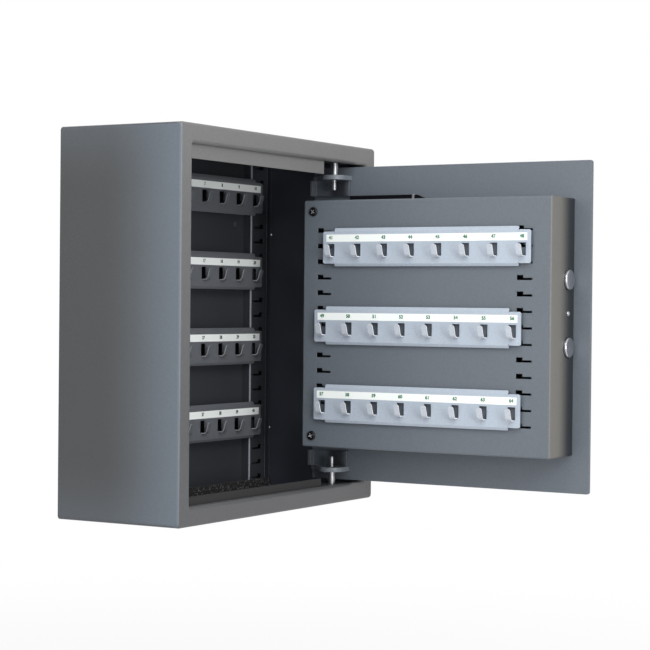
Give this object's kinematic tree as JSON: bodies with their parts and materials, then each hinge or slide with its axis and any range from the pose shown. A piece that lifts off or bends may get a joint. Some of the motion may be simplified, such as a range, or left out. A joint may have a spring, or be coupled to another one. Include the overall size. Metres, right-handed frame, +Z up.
{
  "type": "keypad key cabinet",
  "caption": "Wall-mounted steel key cabinet with an inset keypad door on pivot hinges, sliding lock bolts and slotted rails carrying rows of key hooks.",
  "frame": {"origin": "centre of the four wall fixing holes, on the outer face of the back panel", "axes": "+X to the right seen from the front, +Y into the wall, +Z up"},
  "size_m": [0.45, 0.5075, 0.465],
  "materials": {
    "cabinet_paint": "fine textured powder coat, dark grey",
    "door_paint": "fine textured powder coat, dark grey",
    "bar_grey": "smooth light blue-grey paint",
    "bar_dark": "smooth mid grey paint",
    "label_paper": "matt white strip with printed numbers",
    "mat_felt": "speckled needled felt",
    "bright_steel": "turned and polished",
    "pin_steel": "turned, dull",
    "zinc_sheet": "zinc-plated",
    "black_screw": "black oxide",
    "black_plastic": "fine spark texture",
    "key_grey": "smooth moulded",
    "seal_rubber": "matt",
    "lamp_clear": "clear green"
  },
  "bodies": {
    "cabinet": {"cabinet_shell": "cabinet_paint", "back_panel": "cabinet_paint", "door_stop_top": "cabinet_paint", "door_stop_bottom": "cabinet_paint", "slotted_post_left": "cabinet_paint", "slotted_post_right": "cabinet_paint", "hinge_plate_top": "cabinet_paint", "hinge_plate_bottom": "cabinet_paint", "floor_mat": "mat_felt", "hinge_pin_top": "pin_steel", "hinge_pin_bottom": "pin_steel"},
    "door": {"door_panel": "door_paint", "door_cover": "door_paint", "cover_posts": "zinc_sheet", "cover_screws": "black_screw", "cover_side_screw": "bright_steel", "hinge_bracket_top": "door_paint", "hinge_bracket_bottom": "door_paint", "bolt_guide": "zinc_sheet", "carriage_studs": "pin_steel", "lock_case": "black_plastic", "keypad_housing": "black_plastic", "keypad_gasket": "seal_rubber", "lamp_lens": "lamp_clear", "door_lead": "seal_rubber", "door_lead_clip": "bright_steel"},
    "boltwork": {"lock_bolt_upper": "bright_steel", "lock_bolt_lower": "bright_steel", "bolt_carriage": "zinc_sheet"},
    "knob": {"turning_knob": "black_plastic", "knob_spindle": "bright_steel"},
    "body_bar_1": {"body_bar_1": "bar_dark", "body_label_1": "label_paper"},
    "body_bar_2": {"body_bar_2": "bar_dark", "body_label_2": "label_paper"},
    "body_bar_3": {"body_bar_3": "bar_dark", "body_label_3": "label_paper"},
    "body_bar_4": {"body_bar_4": "bar_dark", "body_label_4": "label_paper"},
    "door_bar_1": {"door_bar_1": "bar_grey", "door_label_1": "label_paper"},
    "door_bar_2": {"door_bar_2": "bar_grey", "door_label_2": "label_paper"},
    "door_bar_3": {"door_bar_3": "bar_grey", "door_label_3": "label_paper"},
    "key_1": {"key_1": "key_grey"},
    "key_2": {"key_2": "key_grey"},
    "key_3": {"key_3": "key_grey"},
    "key_4": {"key_4": "key_grey"},
    "key_5": {"key_5": "key_grey"},
    "key_6": {"key_6": "key_grey"},
    "key_7": {"key_7": "key_grey"},
    "key_8": {"key_8": "key_grey"},
    "key_9": {"key_9": "key_grey"},
    "key_star": {"key_star": "key_grey"},
    "key_0": {"key_0": "key_grey"},
    "key_hash": {"key_hash": "key_grey"}
  },
  "joints": [
    {"name": "door_hinge", "type": "hinge", "parent": "cabinet", "child": "door", "pos_m": [0.1575, -0.151, 0], "axis": [0, 0, 1], "range_deg": [-90, 20]},
    {"name": "bolt_slide", "type": "slide", "parent": "door", "child": "boltwork", "axis": [0, -1, 0], "range_m": [0, 0.02]},
    {"name": "knob_turn", "type": "hinge", "parent": "door", "child": "knob", "pos_m": [0.1795, -0.3835, 0.0165], "axis": [1, 0, 0], "range_deg": [0, 90]},
    {"name": "body_bar_1_slide", "type": "slide", "parent": "cabinet", "child": "body_bar_1", "axis": [1, 0, 0], "range_m": [0, 0.012]},
    {"name": "body_bar_2_slide", "type": "slide", "parent": "cabinet", "child": "body_bar_2", "axis": [1, 0, 0], "range_m": [0, 0.012]},
    {"name": "body_bar_3_slide", "type": "slide", "parent": "cabinet", "child": "body_bar_3", "axis": [1, 0, 0], "range_m": [0, 0.012]},
    {"name": "body_bar_4_slide", "type": "slide", "parent": "cabinet", "child": "body_bar_4", "axis": [1, 0, 0], "range_m": [0, 0.012]},
    {"name": "door_bar_1_slide", "type": "slide", "parent": "door", "child": "door_bar_1", "axis": [0, -1, 0], "range_m": [-0.012, 0]},
    {"name": "door_bar_2_slide", "type": "slide", "parent": "door", "child": "door_bar_2", "axis": [0, -1, 0], "range_m": [0, 0.012]},
    {"name": "door_bar_3_slide", "type": "slide", "parent": "door", "child": "door_bar_3", "axis": [0, -1, 0], "range_m": [0, 0.012]},
    {"name": "key_1_press", "type": "slide", "parent": "door", "child": "key_1", "axis": [-1, 0, 0], "range_m": [0, 0.0012], "stiffness_N_per_m": 400},
    {"name": "key_2_press", "type": "slide", "parent": "door", "child": "key_2", "axis": [-1, 0, 0], "range_m": [0, 0.0012], "stiffness_N_per_m": 400},
    {"name": "key_3_press", "type": "slide", "parent": "door", "child": "key_3", "axis": [-1, 0, 0], "range_m": [0, 0.0012], "stiffness_N_per_m": 400},
    {"name": "key_4_press", "type": "slide", "parent": "door", "child": "key_4", "axis": [-1, 0, 0], "range_m": [0, 0.0012], "stiffness_N_per_m": 400},
    {"name": "key_5_press", "type": "slide", "parent": "door", "child": "key_5", "axis": [-1, 0, 0], "range_m": [0, 0.0012], "stiffness_N_per_m": 400},
    {"name": "key_6_press", "type": "slide", "parent": "door", "child": "key_6", "axis": [-1, 0, 0], "range_m": [0, 0.0012], "stiffness_N_per_m": 400},
    {"name": "key_7_press", "type": "slide", "parent": "door", "child": "key_7", "axis": [-1, 0, 0], "range_m": [0, 0.0012], "stiffness_N_per_m": 400},
    {"name": "key_8_press", "type": "slide", "parent": "door", "child": "key_8", "axis": [-1, 0, 0], "range_m": [0, 0.0012], "stiffness_N_per_m": 400},
    {"name": "key_9_press", "type": "slide", "parent": "door", "child": "key_9", "axis": [-1, 0, 0], "range_m": [0, 0.0012], "stiffness_N_per_m": 400},
    {"name": "key_star_press", "type": "slide", "parent": "door", "child": "key_star", "axis": [-1, 0, 0], "range_m": [0, 0.0012], "stiffness_N_per_m": 400},
    {"name": "key_0_press", "type": "slide", "parent": "door", "child": "key_0", "axis": [-1, 0, 0], "range_m": [0, 0.0012], "stiffness_N_per_m": 400},
    {"name": "key_hash_press", "type": "slide", "parent": "door", "child": "key_hash", "axis": [-1, 0, 0], "range_m": [0, 0.0012], "stiffness_N_per_m": 400}
  ],
  "couplings": [
    {"joint": "knob_turn", "follows": "bolt_slide", "rad_per_m": 78.54}
  ]
}
